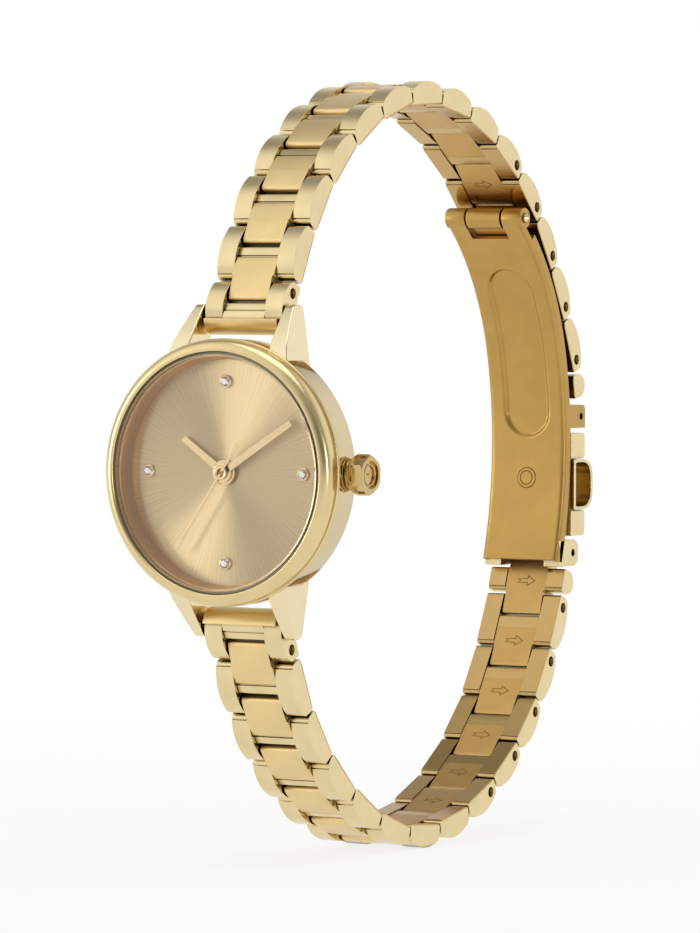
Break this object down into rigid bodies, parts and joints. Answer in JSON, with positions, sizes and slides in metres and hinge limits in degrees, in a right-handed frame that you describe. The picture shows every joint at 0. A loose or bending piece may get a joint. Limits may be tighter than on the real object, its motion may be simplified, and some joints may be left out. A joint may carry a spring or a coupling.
{
  "type": "bracelet watch",
  "caption": "Slim round watch with a rounded bezel, stone-set dial and an even three-row link bracelet closed by a folding clasp.",
  "frame": {"origin": "centre of the case back's flat outer face", "axes": "+Z towards 12 o'clock, +X towards the crown at 3 o'clock, +Y out of the case back towards the wrist, so the dial faces -Y"},
  "size_m": [0.0261, 0.0628, 0.072],
  "materials": {
    "polished_gold": "polished, pale champagne gold plate on steel",
    "brushed_gold": "fine brushed, pale champagne gold plate on steel",
    "dial_face": "sunray brushed champagne lacquer",
    "crystal_glass": "clear polished mineral glass",
    "stone_glass": "clear faceted",
    "gasket_rubber": "matt",
    "steel": "plain satin steel",
    "movement_metal": "nickelled",
    "holder_plastic": "matt white",
    "cell_steel": "bright",
    "coil_copper": "fine enamelled wire"
  },
  "bodies": {
    "case": {"case_body": "polished_gold", "bezel": "polished_gold", "crystal": "crystal_glass", "crystal_gasket": "gasket_rubber", "dial_ring": "polished_gold", "dial": "dial_face", "stone_settings": "polished_gold", "dial_stones": "stone_glass", "case_back": "steel", "case_back_gasket": "gasket_rubber", "crown_tube": "steel", "lug_spring_bars": "steel", "movement_holder": "holder_plastic", "movement_plate": "movement_metal", "battery": "cell_steel", "drive_coil": "coil_copper"},
    "setting_lever": {"setting_lever": "steel"},
    "clutch": {"clutch_pinion": "steel"},
    "crown_and_stem": {"winding_stem": "steel", "crown": "polished_gold"},
    "hour_hand": {"hour_hand": "polished_gold"},
    "minute_hand": {"minute_hand": "polished_gold"},
    "seconds_hand": {"seconds_hand": "polished_gold"},
    "upper_end_link": {"upper_end_link": "polished_gold"},
    "upper_link_01": {"upper_link_01": "polished_gold"},
    "upper_link_02": {"upper_link_02": "polished_gold"},
    "upper_link_03": {"upper_link_03": "polished_gold"},
    "upper_link_04": {"upper_link_04": "polished_gold"},
    "upper_link_05": {"upper_link_05": "polished_gold"},
    "upper_link_06": {"upper_link_06": "polished_gold"},
    "upper_link_07": {"upper_link_07": "polished_gold"},
    "upper_link_08": {"upper_link_08": "polished_gold"},
    "upper_link_09": {"upper_link_09": "polished_gold"},
    "upper_link_10": {"upper_link_10": "polished_gold"},
    "upper_link_11": {"upper_link_11": "polished_gold"},
    "upper_link_12": {"upper_link_12": "polished_gold"},
    "upper_link_13": {"upper_link_13": "polished_gold"},
    "upper_half_link": {"upper_half_link": "polished_gold"},
    "clasp_outer": {"outer_blade": "brushed_gold", "clasp_cover": "polished_gold", "pull_tab": "polished_gold", "upper_clasp_bar": "steel"},
    "clasp_inner": {"inner_blade": "brushed_gold", "clasp_hinge_pin": "polished_gold", "snap_stud": "polished_gold", "lower_clasp_bar": "steel"},
    "lower_half_link": {"lower_half_link": "polished_gold"},
    "lower_end_link": {"lower_end_link": "polished_gold"},
    "lower_link_01": {"lower_link_01": "polished_gold"},
    "lower_link_02": {"lower_link_02": "polished_gold"},
    "lower_link_03": {"lower_link_03": "polished_gold"},
    "lower_link_04": {"lower_link_04": "polished_gold"},
    "lower_link_05": {"lower_link_05": "polished_gold"},
    "lower_link_06": {"lower_link_06": "polished_gold"},
    "lower_link_07": {"lower_link_07": "polished_gold"},
    "lower_link_08": {"lower_link_08": "polished_gold"},
    "lower_link_09": {"lower_link_09": "polished_gold"},
    "lower_link_10": {"lower_link_10": "polished_gold"},
    "lower_link_11": {"lower_link_11": "polished_gold"},
    "lower_link_12": {"lower_link_12": "polished_gold"}
  },
  "joints": [
    {"name": "crown_turn", "type": "hinge", "parent": "case", "child": "clutch", "pos_m": [0, -0.0029, 0], "axis": [1, 0, 0], "continuous": true},
    {"name": "crown_pull", "type": "slide", "parent": "clutch", "child": "crown_and_stem", "axis": [1, 0, 0], "range_m": [0, 0.0009]},
    {"name": "setting_lever_swing", "type": "hinge", "parent": "case", "child": "setting_lever", "pos_m": [0.00645, -0.0029, 0.0024], "axis": [0, 1, 0], "range_deg": [-28.7, 0]},
    {"name": "minute_turn", "type": "hinge", "parent": "case", "child": "minute_hand", "pos_m": [0, 0, 0], "axis": [0, 1, 0], "continuous": true},
    {"name": "hour_turn", "type": "hinge", "parent": "case", "child": "hour_hand", "pos_m": [0, 0, 0], "axis": [0, 1, 0], "continuous": true},
    {"name": "seconds_turn", "type": "hinge", "parent": "case", "child": "seconds_hand", "pos_m": [0, 0, 0], "axis": [0, 1, 0], "continuous": true},
    {"name": "upper_end_link_swing", "type": "hinge", "parent": "case", "child": "upper_end_link", "pos_m": [0, -0.0011, 0.0141], "axis": [1, 0, 0], "range_deg": [0, 20]},
    {"name": "upper_link_01_bend", "type": "hinge", "parent": "upper_end_link", "child": "upper_link_01", "pos_m": [0, -0.0002, 0.0161], "axis": [1, 0, 0], "range_deg": [0, 1.77]},
    {"name": "upper_link_02_bend", "type": "hinge", "parent": "upper_link_01", "child": "upper_link_02", "pos_m": [0, 0.00228, 0.02118], "axis": [1, 0, 0], "range_deg": [0, 8.5]},
    {"name": "upper_link_03_bend", "type": "hinge", "parent": "upper_link_02", "child": "upper_link_03", "pos_m": [0, 0.00548, 0.02583], "axis": [1, 0, 0], "range_deg": [0, 12]},
    {"name": "upper_link_04_bend", "type": "hinge", "parent": "upper_link_03", "child": "upper_link_04", "pos_m": [0, 0.00958, 0.02972], "axis": [1, 0, 0], "range_deg": [0, 12]},
    {"name": "upper_link_05_bend", "type": "hinge", "parent": "upper_link_04", "child": "upper_link_05", "pos_m": [0, 0.01439, 0.03268], "axis": [1, 0, 0], "range_deg": [0, 13]},
    {"name": "upper_link_06_bend", "type": "hinge", "parent": "upper_link_05", "child": "upper_link_06", "pos_m": [0, 0.01975, 0.03447], "axis": [1, 0, 0], "range_deg": [0, 14.5]},
    {"name": "upper_link_07_bend", "type": "hinge", "parent": "upper_link_06", "child": "upper_link_07", "pos_m": [0, 0.02539, 0.03486], "axis": [1, 0, 0], "range_deg": [0, 14.5]},
    {"name": "upper_link_08_bend", "type": "hinge", "parent": "upper_link_07", "child": "upper_link_08", "pos_m": [0, 0.03094, 0.03383], "axis": [1, 0, 0], "range_deg": [0, 12.5]},
    {"name": "upper_link_09_bend", "type": "hinge", "parent": "upper_link_08", "child": "upper_link_09", "pos_m": [0, 0.03614, 0.03163], "axis": [1, 0, 0], "range_deg": [0, 11.5]},
    {"name": "upper_link_10_bend", "type": "hinge", "parent": "upper_link_09", "child": "upper_link_10", "pos_m": [0, 0.0408, 0.02843], "axis": [1, 0, 0], "range_deg": [0, 10.5]},
    {"name": "upper_link_11_bend", "type": "hinge", "parent": "upper_link_10", "child": "upper_link_11", "pos_m": [0, 0.04479, 0.02443], "axis": [1, 0, 0], "range_deg": [0, 11]},
    {"name": "upper_link_12_bend", "type": "hinge", "parent": "upper_link_11", "child": "upper_link_12", "pos_m": [0, 0.04795, 0.01975], "axis": [1, 0, 0], "range_deg": [0, 5.5]},
    {"name": "upper_link_13_bend", "type": "hinge", "parent": "upper_link_12", "child": "upper_link_13", "pos_m": [0, 0.05065, 0.01478], "axis": [1, 0, 0], "range_deg": [0, 5.5]},
    {"name": "upper_half_link_bend", "type": "hinge", "parent": "upper_link_13", "child": "upper_half_link", "pos_m": [0, 0.05286, 0.00958], "axis": [1, 0, 0], "range_deg": [0, 13]},
    {"name": "clasp_lift", "type": "hinge", "parent": "upper_half_link", "child": "clasp_outer", "pos_m": [0, 0.05384, 0.00402], "axis": [1, 0, 0], "range_deg": [0, 100]},
    {"name": "clasp_fold", "type": "hinge", "parent": "clasp_outer", "child": "clasp_inner", "pos_m": [0, 0.04225, 0.02335], "axis": [-1, 0, 0], "range_deg": [0, 90]},
    {"name": "lower_half_link_bend", "type": "hinge", "parent": "clasp_inner", "child": "lower_half_link", "pos_m": [0, 0.05221, -0.00934], "axis": [1, 0, 0], "range_deg": [0, 20]},
    {"name": "lower_end_link_swing", "type": "hinge", "parent": "case", "child": "lower_end_link", "pos_m": [0, -0.0011, -0.0141], "axis": [-1, 0, 0], "range_deg": [0, 20]},
    {"name": "lower_link_01_bend", "type": "hinge", "parent": "lower_end_link", "child": "lower_link_01", "pos_m": [0, -0.0002, -0.0161], "axis": [-1, 0, 0], "range_deg": [0, 0.772]},
    {"name": "lower_link_02_bend", "type": "hinge", "parent": "lower_link_01", "child": "lower_link_02", "pos_m": [0, 0.00219, -0.02122], "axis": [-1, 0, 0], "range_deg": [0, 11]},
    {"name": "lower_link_03_bend", "type": "hinge", "parent": "lower_link_02", "child": "lower_link_03", "pos_m": [0, 0.00551, -0.02579], "axis": [-1, 0, 0], "range_deg": [0, 11.5]},
    {"name": "lower_link_04_bend", "type": "hinge", "parent": "lower_link_03", "child": "lower_link_04", "pos_m": [0, 0.00967, -0.02961], "axis": [-1, 0, 0], "range_deg": [0, 11]},
    {"name": "lower_link_05_bend", "type": "hinge", "parent": "lower_link_04", "child": "lower_link_05", "pos_m": [0, 0.01449, -0.03256], "axis": [-1, 0, 0], "range_deg": [0, 12]},
    {"name": "lower_link_06_bend", "type": "hinge", "parent": "lower_link_05", "child": "lower_link_06", "pos_m": [0, 0.01982, -0.03445], "axis": [-1, 0, 0], "range_deg": [0, 15]},
    {"name": "lower_link_07_bend", "type": "hinge", "parent": "lower_link_06", "child": "lower_link_07", "pos_m": [0, 0.02545, -0.03489], "axis": [-1, 0, 0], "range_deg": [0, 15]},
    {"name": "lower_link_08_bend", "type": "hinge", "parent": "lower_link_07", "child": "lower_link_08", "pos_m": [0, 0.03101, -0.03386], "axis": [-1, 0, 0], "range_deg": [0, 12]},
    {"name": "lower_link_09_bend", "type": "hinge", "parent": "lower_link_08", "child": "lower_link_09", "pos_m": [0, 0.03623, -0.0317], "axis": [-1, 0, 0], "range_deg": [0, 11.5]},
    {"name": "lower_link_10_bend", "type": "hinge", "parent": "lower_link_09", "child": "lower_link_10", "pos_m": [0, 0.04091, -0.02854], "axis": [-1, 0, 0], "range_deg": [0, 11]},
    {"name": "lower_link_11_bend", "type": "hinge", "parent": "lower_link_10", "child": "lower_link_11", "pos_m": [0, 0.0449, -0.02454], "axis": [-1, 0, 0], "range_deg": [0, 12]},
    {"name": "lower_link_12_bend", "type": "hinge", "parent": "lower_link_11", "child": "lower_link_12", "pos_m": [0, 0.04798, -0.01981], "axis": [-1, 0, 0], "range_deg": [0, 8]}
  ],
  "couplings": [
    {"joint": "setting_lever_swing", "follows": "crown_pull", "rad_per_m": -555.56},
    {"joint": "hour_turn", "follows": "minute_turn", "ratio": 0.083333}
  ]
}
